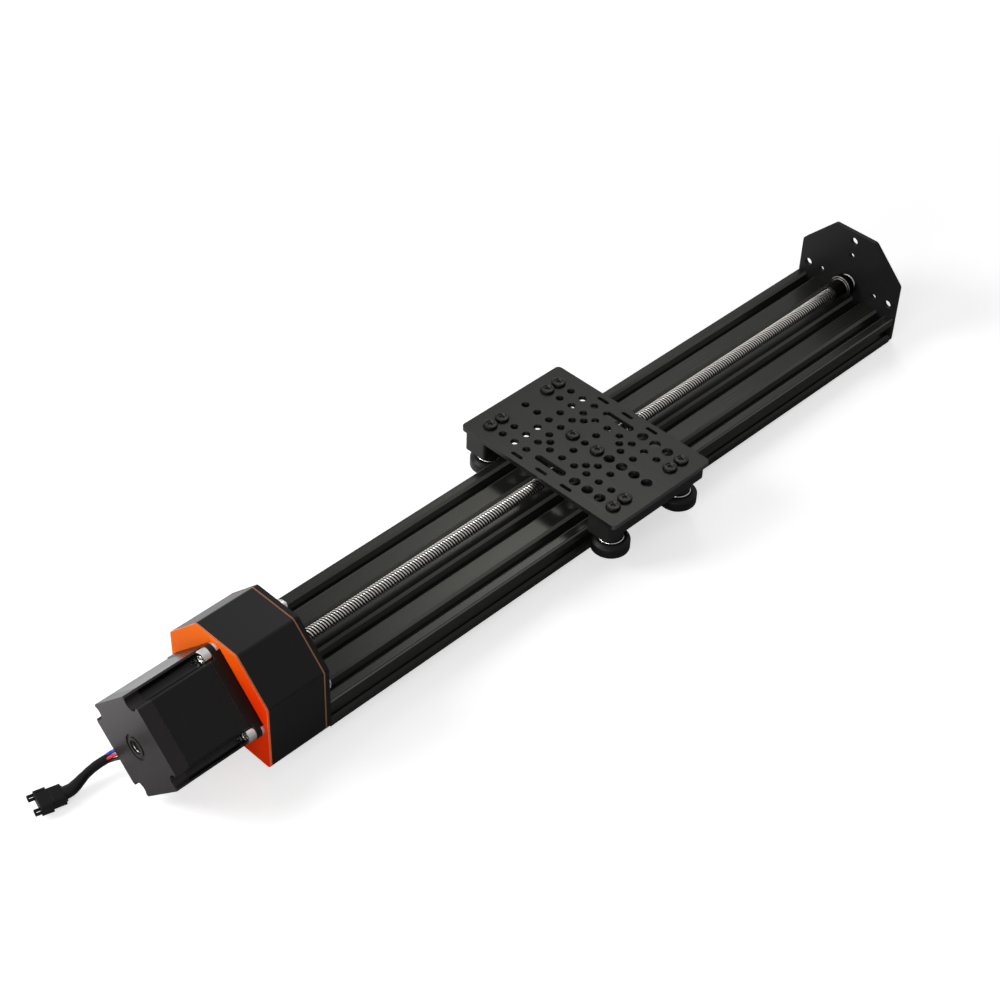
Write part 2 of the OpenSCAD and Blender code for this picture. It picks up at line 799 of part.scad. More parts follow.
module spacer_bar_left() spacer_bar(1);

module spacer_bar_right() spacer_bar(-1);

module bar_bolts()
    color(plastic)
        on_gantry(gantry_top)
            for (w = wheels)
                translate([w[0] * (wheel_base / 2 - bar_bolt_in), w[1] * wheel_y, 0])
                    bolt(low_d, low_h, gantry_t + bar_h - 2, low_socket);

module axle_bolts()
    color(plastic)
        on_gantry(gantry_top)
            for (w = wheels)
                translate([w[0] * wheel_base / 2, w[1] * wheel_y, 0])
                    bolt(low_d, low_h, gantry_top - wheel_z + stack + nut_h + 0.2, low_socket);

module axle_nuts()
    color(steel)
        on_gantry(wheel_z - stack)
            for (w = wheels)
                translate([w[0] * wheel_base / 2, w[1] * wheel_y, 0]) rotate([180, 0, 0]) nut();

module nut_block()
    color(plastic)
        on_gantry(0)
            difference() {
                translate([-nut_len / 2, -nut_w / 2, gantry_z - nut_block_h])
                    cube([nut_len, nut_w, nut_block_h]);
                translate([-nut_len / 2 - cut, 0, screw_z])
                    rotate([0, 90, 0])
                        cylinder(h = nut_len + 2 * cut, r = screw_d / 2 + run_gap);
                for (j = [-1, 1])
                    translate([0, j * nut_bolt_y, gantry_z - nut_block_h - cut])
                        cylinder(h = nut_block_h + 2 * cut, d = bolt_d);
            }

module nut_block_bolts()
    color(plastic)
        on_gantry(gantry_top)
            for (j = [-1, 1])
                translate([0, j * nut_bolt_y, 0])
                    bolt(low_d, low_h, gantry_t + nut_block_h - 1, low_socket);

// ---------------------------------------------------------------- wheels

// Puts copies at a wheel's centre
module at_wheel(w)
    translate([carriage_x + w[0] * wheel_base / 2, w[1] * wheel_y, wheel_z]) children();

module ring(z0, h, outer, inner)
    translate([0, 0, z0])
        linear_extrude(h)
            difference() {
                circle(d = outer);
                circle(d = inner);
            }

module wheel_inner_rings()
    color(steel)
        for (w = wheels)
            at_wheel(w)
                for (z = [shim_t / 2, -stack]) ring(z, wheel_bearing_w, inner_ring_d, bolt_d);

module wheel_shims()
    color(steel)
        for (w = wheels) at_wheel(w) ring(-shim_t / 2, shim_t, inner_ring_d, bolt_d);

// V wheel: a flat crest between two 45 degree flanks, with a lip between its bearings
module wheel(w) {
    r = wheel_d / 2;
    flank = (wheel_w - wheel_crest) / 2;
    seat = wheel_bearing_d / 2;
    color(plastic)
        at_wheel(w)
            rotate_extrude($fn = 96)
                polygon([
                    [seat - 1, -shim_t / 2], [seat, -shim_t / 2], [seat, -wheel_w / 2],
                    [r - flank, -wheel_w / 2], [r, -wheel_crest / 2], [r, wheel_crest / 2],
                    [r - flank, wheel_w / 2], [seat, wheel_w / 2], [seat, shim_t / 2],
                    [seat - 1, shim_t / 2]
                ]);
}

module wheel_bearings(w)
    color(steel)
        at_wheel(w)
            for (z = [shim_t / 2, -stack])
                ring(z, wheel_bearing_w, wheel_bearing_d, wheel_bearing_d - 2 * outer_ring_t);

module wheel_seals(w)
    color(plastic)
        at_wheel(w)
            for (z = [shim_t / 2 + 0.3, stack - 1.1, -stack + 0.3, -shim_t / 2 - 1.1])
                ring(z, 0.8, wheel_bearing_d - 2 * outer_ring_t, inner_ring_d + 2 * run_gap);

beam();
far_end_plate();
far_plate_screws();
near_end_plate();
liner_plate();
near_plate_screws();
housing_shell();
standoffs();
motor_plate();
motor_flange();
motor_stator();
motor_rear_cap();
motor_bolts();
motor_nuts();
far_bearing_outer_ring();
far_bearing_seals();
near_bearing_outer_ring();
near_bearing_seals();
motor_bearing_outer_rings();
cable_grommet();
motor_cable();
cable_connector();
lead_screw();
far_collar();
near_collar();
collar_set_screws();
coupling();
coupling_set_screws();
motor_shaft();
rotor();
shaft_inner_rings();
gantry_plate();
spacer_bar_left();
spacer_bar_right();
bar_bolts();
axle_bolts();
axle_nuts();
nut_block();
nut_block_bolts();
wheel_inner_rings();
wheel_shims();
wheel(wheels[0]);  // wheel_1
wheel_bearings(wheels[0]);  // wheel_1_bearings
wheel_seals(wheels[0]);  // wheel_1_seals
wheel(wheels[1]);  // wheel_2
wheel_bearings(wheels[1]);  // wheel_2_bearings
wheel_seals(wheels[1]);  // wheel_2_seals
wheel(wheels[2]);  // wheel_3
wheel_bearings(wheels[2]);  // wheel_3_bearings
wheel_seals(wheels[2]);  // wheel_3_seals
wheel(wheels[3]);  // wheel_4
wheel_bearings(wheels[3]);  // wheel_4_bearings
wheel_seals(wheels[3]);  // wheel_4_seals
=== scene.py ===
import math

import bmesh
import bpy
from mathutils import Matrix, Vector


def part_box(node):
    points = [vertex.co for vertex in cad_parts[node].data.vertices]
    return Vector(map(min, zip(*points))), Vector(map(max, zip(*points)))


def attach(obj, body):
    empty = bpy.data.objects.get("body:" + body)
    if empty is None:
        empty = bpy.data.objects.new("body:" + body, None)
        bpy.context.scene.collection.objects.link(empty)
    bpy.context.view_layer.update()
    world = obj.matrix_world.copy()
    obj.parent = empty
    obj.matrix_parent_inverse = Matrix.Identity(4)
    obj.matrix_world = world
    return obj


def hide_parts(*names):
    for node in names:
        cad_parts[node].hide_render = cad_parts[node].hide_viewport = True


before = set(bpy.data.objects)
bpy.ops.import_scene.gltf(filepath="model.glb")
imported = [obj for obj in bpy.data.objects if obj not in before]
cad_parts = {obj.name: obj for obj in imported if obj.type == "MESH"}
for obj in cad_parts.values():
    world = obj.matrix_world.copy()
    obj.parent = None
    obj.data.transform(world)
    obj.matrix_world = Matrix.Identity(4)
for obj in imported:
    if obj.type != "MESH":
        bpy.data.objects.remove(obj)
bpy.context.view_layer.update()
scene = bpy.context.scene
mm = 0.001
print("frame loaded")

camera = {
    "at": Vector((-743.6, -625.5, 850.0)) * mm,
    "yaw": 43.374, "pitch": 41.789, "roll": 2.184,   # degrees
    "lens": 75.28, "sensor": 36.0,
}


def addCamera(spec):
    yaw, pitch, roll = (math.radians(spec[k]) for k in ("yaw", "pitch", "roll"))
    ahead = Vector((math.cos(pitch) * math.cos(yaw), math.cos(pitch) * math.sin(yaw), -math.sin(pitch)))
    level = ahead.cross(Vector((0, 0, 1))).normalized()
    above = level.cross(ahead)
    right = level * math.cos(roll) + above * math.sin(roll)
    up = above * math.cos(roll) - level * math.sin(roll)
    data = bpy.data.cameras.new("camera")
    data.lens, data.sensor_width = spec["lens"], spec["sensor"]
    data.clip_start, data.clip_end = 0.05, 20
    made = bpy.data.objects.new("camera", data)
    made.matrix_world = Matrix.Translation(spec["at"]) @ Matrix((right, up, -ahead)).transposed().to_4x4()
    scene.collection.objects.link(made)
    scene.camera = made


addCamera(camera)


# A socket in a node tree. Arithmetic on it adds Math nodes.
class Sock:
    def __init__(self, look, out):
        self.look, self.out = look, out

    def __add__(self, other):
        return self.look.maths("ADD", self, other)

    def __radd__(self, other):
        return self.look.maths("ADD", other, self)

    def __sub__(self, other):
        return self.look.maths("SUBTRACT", self, other)

    def __rsub__(self, other):
        return self.look.maths("SUBTRACT", other, self)

    def __mul__(self, other):
        return self.look.maths("MULTIPLY", self, other)

    def __rmul__(self, other):
        return self.look.maths("MULTIPLY", other, self)


# A node tree under construction
class Board:
    def __init__(self, tree):
        self.tree = tree

    def plug(self, socket, value):
        if isinstance(value, Sock):
            self.tree.links.new(value.out, socket)
        else:
            socket.default_value = value

    # Any node: its type, its settings, the values or links of its sockets, and which output is wanted
    def node(self, kind, settings=None, sockets=None, out=0):
        made = self.tree.nodes.new("ShaderNode" + kind)
        for key, value in (settings or {}).items():
            setattr(made, key, value)
        for key, value in (sockets or {}).items():
            self.plug(made.inputs[key], value)
        return Sock(self, made.outputs[out])

    def maths(self, operation, a, b=0.0):
        return self.node("Math", {"operation": operation}, {0: a, 1: b})

    def place(self):
        return self.node("TexCoord", out="Object")

    def parts(self, vector):
        split = self.node("SeparateXYZ", {}, {0: vector})
        return [Sock(self, out) for out in split.out.node.outputs]

    def stretched(self, place, scale):
        return self.node("Mapping", {}, {"Vector": place, "Scale": scale})

    def noise(self, place, scale=1.0, detail=2.0, rough=0.5):
        return self.node("TexNoise", {},
                         {"Vector": place, "Scale": scale, "Detail": detail, "Roughness": rough})

    # Rises from 0 to 1 as value goes from low to high
    def rise(self, value, low, high):
        return self.node("MapRange", {"interpolation_type": "SMOOTHSTEP"},
                         {"Value": value, "From Min": low, "From Max": high})

    def mix(self, share, first, second):
        pair = [c if isinstance(c, Sock) else (*c, 1.0) for c in (first, second)]
        return self.node("Mix", {"data_type": "RGBA"}, {0: share, 6: pair[0], 7: pair[1]}, out=2)


# A material, built on the Principled shader
class Look(Board):
    def __init__(self, name, **fixed):
        self.mat = bpy.data.materials.new(name)
        self.mat.use_nodes = True
        super().__init__(self.mat.node_tree)
        self.shader = self.tree.nodes["Principled BSDF"]
        for key, value in fixed.items():
            self.feed(key.replace("_", " "), value)

    def feed(self, key, value):
        if isinstance(value, tuple):
            value = (*value, 1.0)
        self.plug(self.shader.inputs[key], value)

    def bump(self, height, distance, strength=1.0):
        self.feed("Normal", self.node("Bump", {},
                                      {"Height": height, "Distance": distance, "Strength": strength}))


# A colour that many times as bright
def tinted(shade, times):
    return [min(c * times, 1.0) for c in shade]


# Upright walls above low and within reach of the middle line, in millimetres, where a painted reflection of
# the pale floor lightens the colour
def paintedReflectionWalls(look, low, reach):
    x, y, z = look.parts(look.place())
    across = look.maths("ABSOLUTE", look.parts(look.node("NewGeometry", out="Normal"))[1])
    outside = look.rise(look.maths("ABSOLUTE", y), reach * mm, (reach + 0.2) * mm)
    return look.rise(across, 0.3, 0.6) * look.rise(z, low * mm, (low + 0.4) * mm) * (1.0 - outside)


# Black anodised aluminium. grain is the noise's scale along each axis, so the long lines of the
# extrusion or of the brush run where it is small. The optional dictionary holds a lighter colour
# painted on upright walls as a painted reflection of the pale floor, and where those walls are.
def anodised(name, grain, dark, light, rough, spread=0.10, paintedReflection=None, scratch=0.00003, **fixed):
    look = Look(name, **fixed)
    place = look.place()
    lines = look.noise(look.stretched(place, grain), detail=3.0, rough=0.6)
    cloud = look.noise(place, 14.0, 3.0)
    fleck = look.noise(place, 1800.0, 2.0)
    shade = look.mix(cloud * 0.6 + lines * 0.4, dark, light)
    # Painted reflection: the upright walls get the lighter colour
    if paintedReflection:
        shade = look.mix(paintedReflectionWalls(look, paintedReflection["low"], paintedReflection["reach"]), shade, paintedReflection["shade"])
    look.feed("Base Color", shade)
    look.feed("Roughness", lines * spread + cloud * 0.08 + (rough - spread / 2 - 0.04))
    look.bump(lines * 0.8 + fleck * 0.35, scratch, 0.4)
    return look.mat


def plastic(name, shade, rough, grain=900.0, depth=0.00003, **fixed):
    look = Look(name, **fixed)
    place = look.place()
    grit = look.noise(place, grain, 3.0)
    cloud = look.noise(place, 60.0, 2.0)
    look.feed("Base Color", look.mix(cloud, tinted(shade, 0.75), tinted(shade, 1.3)))
    look.feed("Roughness", cloud * 0.12 + grit * 0.08 + (rough - 0.10))
    look.bump(grit, depth, 0.6)
    return look.mat


def steel(name, shade, rough, grain=(300.0, 300.0, 300.0), **fixed):
    look = Look(name, Metallic=1.0, **fixed)
    place = look.place()
    lines = look.noise(look.stretched(place, grain), detail=3.0, rough=0.6)
    stain = look.noise(place, 120.0, 3.0)
    look.feed("Base Color", look.mix(stain, tinted(shade, 0.88), shade))
    look.feed("Roughness", lines * 0.10 + stain * 0.06 + (rough - 0.08))
    look.bump(lines, 0.00001, 0.5)
    return look.mat


paintGrain = 650.0   # noise scale of the fine unevenness of the paints


def paint(name, shade, rough, **fixed):
    look = Look(name, **fixed)
    place = look.place()
    skin = look.noise(place, paintGrain, 2.0)
    cloud = look.noise(place, 30.0, 3.0)
    look.feed("Base Color", look.mix(cloud, tinted(shade, 0.85), tinted(shade, 1.12)))
    look.feed("Roughness", cloud * 0.08 + skin * 0.05 + (rough - 0.06))
    look.bump(skin, 0.00003, 0.5)
    return look.mat


axisZ = 28.4 * mm   # height of the screw's axis

# Where the finish changes, in millimetres: the thread's crests by their radius, the flange's bare
# corners by their radius and depth behind its front, the orange edge by its distance from the axis
# The flange's corners are worn bare; the dark thread roots are partly painted shade, and the pale orange edge
# is a painted highlight.
wearAndPaintedLight = {"crest": (3.5, 3.9), "corner": (36.4, 36.7), "rim": (2.4, 2.1), "orangeEdge": (39.5, 39.7)}


# Distance of the shaded point from the screw's axis
def fromAxis(look):
    x, y, z = look.parts(look.place())
    z = z - axisZ
    return look.maths("SQRT", y * y + z * z)


# Lead screw steel: bright crests, and thread roots painted nearly black, partly as grease and partly as
# painted shade in the grooves
def screwSteel():
    look = Look("screwSteel", Metallic=1.0)
    place = look.place()
    crest = look.rise(fromAxis(look), *(r * mm for r in wearAndPaintedLight["crest"]))
    stain = look.noise(place, 90.0, 4.0)
    lines = look.noise(look.stretched(place, (60.0, 900.0, 900.0)), detail=2.0)
    bright = look.mix(stain, (0.84, 0.81, 0.77), (0.96, 0.93, 0.89))
    # The dark root colour is partly grease and partly painted shade in the grooves
    look.feed("Base Color", look.mix(crest, (0.08, 0.075, 0.07), bright))
    look.feed("Roughness", 0.50 - crest * 0.30 + lines * 0.08)
    look.bump(lines, 0.00001, 0.4)
    return look.mat


# Motor flange: black paint, worn bright along the front rim of its round corners
def flangePaint(face):
    look = Look("flangePaint", Specular_IOR_Level=0.25)
    place = look.place()
    skin = look.noise(place, paintGrain, 2.0)
    corner = look.rise(fromAxis(look), *(r * mm for r in wearAndPaintedLight["corner"]))
    bare = corner * look.rise(look.parts(place)[0], *(face - depth * mm for depth in wearAndPaintedLight["rim"]))
    look.feed("Base Color", look.mix(bare, (0.006, 0.006, 0.006), (0.82, 0.81, 0.80)))
    look.feed("Metallic", bare)
    look.feed("Roughness", 0.36 + skin * 0.06 - bare * 0.08)
    look.bump(skin, 0.00003, 0.5)
    return look.mat


# Orange paint with painted light: yellower and brighter up and towards +Y as a painted light side, redder and
# darker low down as painted shade, and paler along its outer edge as a painted highlight
def orangePaint():
    look = Look("orangePaint", Specular_IOR_Level=0.03)
    place = look.place()
    skin = look.noise(place, paintGrain, 2.0)
    x, y, z = look.parts(place)
    # Painted light and shade: the paint turns yellower and brighter up and towards +Y, redder and darker low
    # down
    paintedLightSide = look.rise(y * 0.8 + z * 0.6, 0.0, 50 * mm)
    across, up = look.maths("ABSOLUTE", y), z - axisZ
    flats = look.maths("MAXIMUM", look.maths("MAXIMUM", across, up), (across + up) * math.sqrt(0.5))
    # Painted highlight: the paint turns paler along the plate's outer edge
    paintedEdgeHighlight = look.rise(flats, *(r * mm for r in wearAndPaintedLight["orangeEdge"])) * 0.4
    paintedLightTone = look.mix(paintedLightSide, (0.86, 0.034, 0.0014), (0.95, 0.150, 0.005))
    look.feed("Base Color", look.mix(paintedEdgeHighlight, paintedLightTone, (0.95, 0.42, 0.20)))
    look.feed("Roughness", 0.40 + skin * 0.06)
    look.bump(skin, 0.00002, 0.4)
    return look.mat


warmTint = (1.0, 1.0, 0.90)
# Lighter colours painted on the beam's slot walls and the gantry's sides, a painted reflection of the pale
# floor, and where they lie
beamPaintedReflection = {"shade": (0.15, 0.15, 0.135), "low": 16.2, "reach": 39.75}
gantryPaintedReflection = {"shade": (0.065, 0.062, 0.068), "low": 30.0, "reach": 90.0}
looks = {
    "beam": anodised("beamAnodised", (3.0, 1200.0, 1200.0), (0.010, 0.010, 0.0092),
                     (0.030, 0.030, 0.0272), 0.245, 0.12, scratch=0.00009, paintedReflection=beamPaintedReflection,
                     Specular_IOR_Level=0.275, Specular_Tint=warmTint),
    "gantry": anodised("gantryAnodised", (900.0, 12.0, 900.0), (0.008, 0.008, 0.0073),
                       (0.014, 0.0138, 0.0125), 0.29, paintedReflection=gantryPaintedReflection,
                       Specular_IOR_Level=0.215, Specular_Tint=warmTint),
    "plate": anodised("plateAnodised", (700.0, 700.0, 14.0), (0.009, 0.009, 0.009),
                      (0.014, 0.014, 0.014), 0.42, Specular_IOR_Level=0.16),
    "shell": anodised("shellAnodised", (700.0, 700.0, 20.0), (0.0065, 0.0066, 0.0068),
                      (0.0095, 0.0097, 0.010), 0.37, scratch=0.00005, Specular_IOR_Level=0.27),
    "bar": anodised("barAnodised", (14.0, 600.0, 600.0), (0.012, 0.012, 0.0115),
                    (0.018, 0.018, 0.0175), 0.40, Specular_IOR_Level=0.20),
    "orange": orangePaint(),
    "motorPaint": paint("motorPaint", (0.0012, 0.0012, 0.0011), 0.27, Specular_IOR_Level=0.36),
    "flange": flangePaint(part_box("motor_plate")[0].x),
    "capPaint": paint("capPaint", (0.021, 0.0175, 0.0175), 0.33, Specular_IOR_Level=0.32),
    "liner": plastic("linerSheet", (0.38, 0.16, 0.09), 0.50, Specular_IOR_Level=0.2),
    "screw": screwSteel(),
    "bright": steel("brightSteel", (0.95, 0.93, 0.90), 0.19),
    "zinc": steel("zincSteel", (0.88, 0.87, 0.84), 0.24),
    "oxide": steel("blackOxide", (0.042, 0.041, 0.039), 0.31),
    # Lighter grey oxide: the metal of the rear cap's bush, and a painted highlight on the collars' rim edges
    "greyOxide": steel("greyOxide", (0.27, 0.26, 0.25), 0.32),
    "turned": steel("turnedAluminium", (0.74, 0.74, 0.74), 0.32, (900.0, 40.0, 40.0)),
    "laminated": steel("rotorSteel", (0.20, 0.19, 0.18), 0.50, (1500.0, 30.0, 30.0)),
    "acetal": plastic("blackAcetal", (0.006, 0.006, 0.006), 0.44, Specular_IOR_Level=0.25),
    "nutPlastic": plastic("nutPlastic", (0.010, 0.010, 0.010), 0.50),
    "nylon": plastic("connectorNylon", (0.003, 0.003, 0.003), 0.46, 1500.0, Specular_IOR_Level=0.2),
    "seal": plastic("sealRubber", (0.006, 0.006, 0.006), 0.62),
    "sleeve": plastic("sleeveVinyl", (0.004, 0.004, 0.004), 0.42, 700.0, 0.00006,
                      Specular_IOR_Level=0.25),
}
# The four wires' colours, in their order around the cable
wireTints = {"wireBlue": (0.01, 0.08, 0.55), "wireRed": (0.70, 0.01, 0.02),
             "wireGreen": (0.0, 0.28, 0.20), "wireBlack": (0.012, 0.012, 0.012)}
for tint, shade in wireTints.items():
    looks[tint] = plastic(tint, shade, 0.34, 500.0)
print("materials made")


# Faces gathered for one piece, in millimetres
class Shape:
    def __init__(self):
        self.points, self.faces, self.marks = [], [], []

    # Joins rings of equal count. loop joins the last ring to the first, else both are closed.
    # mark is the number of the material, for all or for each ring.
    def skin(self, rings, mark=0, loop=False):
        base, n = len(self.points), len(rings[0])
        for ring in rings:
            self.points += ring
        turns = list(range(len(rings) - 1)) + ([len(rings) - 1] if loop else [])
        for i in turns:
            a, b = base + i * n, base + (i + 1) % len(rings) * n
            for k in range(n):
                self.faces.append((a + k, a + (k + 1) % n, b + (k + 1) % n, b + k))
                self.marks.append(mark if isinstance(mark, int) else mark[i])
        if not loop:
            last = base + (len(rings) - 1) * n
            self.faces += [tuple(base + k for k in reversed(range(n))), tuple(last + k for k in range(n))]
            self.marks += [mark, mark] if isinstance(mark, int) else [mark[0], mark[-1]]

    def piece(self, name, body, slot, materials, nodes=(), sharp=35.0, merge=0.0005):
        mesh = bpy.data.meshes.new(name)
        mesh.from_pydata([Vector(p) * mm for p in self.points], [], self.faces)
        mesh.polygons.foreach_set("material_index", self.marks)
        work = bmesh.new()
        work.from_mesh(mesh)
        bmesh.ops.remove_doubles(work, verts=work.verts, dist=merge * mm)
        bmesh.ops.recalc_face_normals(work, faces=work.faces)
        work.to_mesh(mesh)
        work.free()
        for look in materials:
            mesh.materials.append(looks[look])
        mesh.polygons.foreach_set("use_smooth", [True] * len(mesh.polygons))
        mesh.set_sharp_from_angle(angle=math.radians(sharp))
        made = bpy.data.objects.new(name, mesh)
        scene.collection.objects.link(made)
        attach(made, body)
        if nodes:
            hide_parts(*nodes)
        return made


# One ring about Z: round, or a hexagon with its flats r from the middle
def ringOf(r, z, n=48, form="round"):
    ring = []
    for k in range(n):
        a = 2 * math.pi * k / n
        reach = r / math.cos(a % (math.pi / 3) - math.pi / 6) if form == "hex" else r
        ring.append(Vector((reach * math.cos(a), reach * math.sin(a), z)))
    return ring


# Puts rings made about Z at a point, with Z turned to axis
def stand(rings, at, axis=(0, 0, 1)):
    turn = Matrix.Translation(at) @ Vector(axis).to_track_quat("Z", "Y").to_matrix().to_4x4()
    return [[turn @ p for p in ring] for ring in rings]


# Small forms that all the screws share, in millimetres
screwForm = {"point": 0.5, "under": 0.25, "dishTop": 1.35, "dishFloor": 0.95, "sink": 0.35,
             "sinkDeep": 0.25, "drillPoint": 0.35}


# Screw with a socket in its head. The head stands on z = 0, and dish is a round hollow in its top.
def screwRings(head, n=48):
    f = screwForm
    r, h, s, edge, shank = (head[k] for k in ("r", "h", "socket", "edge", "shank"))
    dish, floorAt = head.get("dish", 0), h - head["depth"]
    rings = [ringOf(shank - f["point"], -head["long"], n), ringOf(shank, f["point"] - head["long"], n),
             ringOf(shank, 0, n), ringOf(r - f["under"], 0, n), ringOf(r, f["under"], n),
             ringOf(r, h - edge * 1.4, n), ringOf(r - edge * 0.35, h - edge * 0.4, n), ringOf(r - edge, h, n)]
    if dish:
        rings += [ringOf(s + f["dishTop"], h, n), ringOf(s + f["dishFloor"], h - dish, n)]
    return rings + [ringOf(s + f["sink"], h - dish, n), ringOf(s, h - dish - f["sinkDeep"], n, "hex"),
                    ringOf(s, floorAt, n, "hex"), ringOf(s * 0.35, floorAt - f["drillPoint"], n)]


# Lock nut: a hexagon, then a round collar over the end of the bolt
lockNut = {"flat": 4.0, "h": 4.0, "hex": 2.8, "collarR": 3.75, "bore": 2.5, "chamfer": 0.3, "round": 0.55}


def nutRings(n=48):
    r, h, hexH, c, bore, chamfer, bend = (
        lockNut[k] for k in ("flat", "h", "hex", "collarR", "bore", "chamfer", "round"))
    return [ringOf(bore, 0, n), ringOf(r * 0.98, 0, n), ringOf(r, chamfer + 0.05, n, "hex"),
            ringOf(r, hexH - chamfer, n, "hex"), ringOf(r * 0.98, hexH, n), ringOf(c, hexH + 0.05, n),
            ringOf(c, h - bend, n), ringOf(c - 0.2, h - 0.15, n), ringOf(c - bend, h, n),
            ringOf(bore + 0.45, h - 0.1, n), ringOf(bore, h - 0.5, n)]


# Points of a smooth curve through the given ones, about step apart
def smoothLine(points, step):
    points = [Vector(p) for p in points]
    ends = [2 * points[0] - points[1], *points, 2 * points[-1] - points[-2]]
    line = []
    for a, b, c, d in zip(ends, ends[1:], ends[2:], ends[3:]):
        count = max(2, round((c - b).length / step))
        for i in range(count):
            t = i / count
            line.append(0.5 * (2 * b + (c - a) * t + (2 * a - 5 * b + 4 * c - d) * t * t
                               + (3 * b - a - 3 * c + d) * t ** 3))
    return [*line, points[-1]]


def lengths(line):
    run = [0.0]
    for a, b in zip(line, line[1:]):
        run.append(run[-1] + (b - a).length)
    return run


# Rings along a line. radius is a number or a function of the run, and wide widens them sideways.
def tubeRings(line, radius, n, wide=None):
    run, rings = lengths(line), []
    for i, point in enumerate(line):
        heading = (line[min(i + 1, len(line) - 1)] - line[max(i - 1, 0)]).normalized()
        side = heading.cross(Vector((0, 0, 1))).normalized()
        above = side.cross(heading)
        r = radius(run[i]) if callable(radius) else radius
        w = wide(run[i]) if wide else 1.0
        turns = [2 * math.pi * k / n for k in range(n)]
        rings.append([point + (side * (w * math.cos(a)) + above * math.sin(a)) * r for a in turns])
    return rings


# Motor cable, in millimetres. Its wires lie bare up to sleeveFrom along the run and fan out past
# sleeveTo. Over the last flareOver of its length the sleeve widens by the share flare.
cable = {
    "route": [(-343.5, 18.3, 5.9), (-343.7, 19.8, 4.2), (-344.7, 22.4, 2.0), (-347.3, 24.8, 0.6),
              (-351, 26.3, -0.6), (-356, 27.4, -1.9), (-361, 27.8, -3.2), (-366, 27.4, -4.4),
              (-370.5, 26.6, -5.3), (-374.5, 26.1, -5.8), (-378.5, 26.6, -6.0), (-380, 27, -6.0)],
    "thick": 5.2, "step": 0.7, "sleeveFrom": 12.5, "sleeveTo": 43.4, "flare": 0.75, "flareOver": 16,
    "round": 1.2, "core": 0.9, "wire": 1.0, "gap": 1.1, "bulge": 0.45, "tail": 0.95, "fan": 2.6,
}
connector = {
    "at": Vector((-379.34, 26.85, -6.32)), "turn": 164.6, "scale": 0.90,
    "half": 3.2, "rear": 6.2, "waist": 8.5, "front": 7.9, "long": 16,    # housing
    "prong": 4.1, "prongFrom": 15.6, "prongTo": 20, "prongHalf": 1.3, "wall": 0.8,
    "rib": 6.0, "panel": 4.6, "cell": 2.9,
}


def addCable():
    c = cable
    line = smoothLine(c["route"], c["step"])
    run = lengths(line)
    start, stop = c["sleeveFrom"], c["sleeveTo"]

    # A slim core under the bare wires, and the sleeve over the rest, a little uneven
    def sleeve(s):
        if s < start or s > stop:
            return c["core"]
        edge = min(s - start, stop - s)
        return c["thick"] / 2 * (0.90 + 0.10 * min(edge / c["round"], 1.0)) * (1 + 0.01 * math.sin(s * 1.3))

    def wide(s):
        return 1 + c["flare"] * max(0.0, (s - stop + c["flareOver"]) / c["flareOver"]) * (s <= stop)

    shape = Shape()
    shape.skin(tubeRings(line, sleeve, 24, wide=wide))
    cord = shape.piece("cableSleeve", "base", "black_rubber", ["sleeve"], ["motor_cable"], sharp=50)
    wires = []
    near = [p for p, s in zip(line, run) if s <= start + 1.5]
    for i, tint in enumerate(wireTints):
        lift, side = (c["gap"], -c["gap"])[i // 2], (c["gap"], -c["gap"])[i % 2]
        spread = []
        for j, p in enumerate(near):
            ahead = (near[min(j + 1, len(near) - 1)] - near[max(j - 1, 0)]).normalized()
            across = ahead.cross(Vector((0, 0, 1))).normalized()
            swell = 1 + c["bulge"] * math.sin(math.pi * j / (len(near) - 1))
            spread.append(p + (across * side + across.cross(ahead) * lift) * swell)
        shape = Shape()
        shape.skin(tubeRings(spread, c["wire"], 14))
        wires.append(shape.piece("cable" + tint[0].upper() + tint[1:], "base", "black_plastic", [tint]))
    tails = Shape()
    turn = math.radians(connector["turn"])
    heading = Vector((math.cos(turn), math.sin(turn), 0))
    across = Vector((-heading.y, heading.x, 0))
    gather = next(p for p, s in zip(line, run) if s >= stop - 2)
    for i in range(4):
        slot = (i - 1.5) * c["fan"]
        goal = connector["at"] + across * slot + heading
        way = smoothLine([gather + across * slot * 0.28, gather.lerp(goal, 0.35) + across * slot * 0.12,
                          gather.lerp(goal, 0.75), goal], 0.8)
        tails.skin(tubeRings(way, c["tail"], 14))
    wires.append(tails.piece("cableTails", "base", "black_plastic", ["sleeve"]))
    return cord, wires, line, run


# An outline pushed up in layers of (height, inset)
def slabRings(outline, layers):
    n = len(outline)
    pairs = list(zip(outline, outline[1:] + outline[:1]))
    inward = 1 if sum(a[0] * b[1] - b[0] * a[1] for a, b in pairs) > 0 else -1
    rings = []
    for z, inset in layers:
        ring = []
        for i in range(n):
            a, b, c = (Vector(outline[j % n]) for j in (i - 1, i, i + 1))
            inA, inB = ((q - p).orthogonal().normalized() * inward for p, q in ((a, b), (b, c)))
            corner = inA + inB
            corner = corner * (inset / max(corner.dot(inA), 0.3))
            ring.append(Vector((b.x + corner.x, b.y + corner.y, z)))
        rings.append(ring)
    return rings


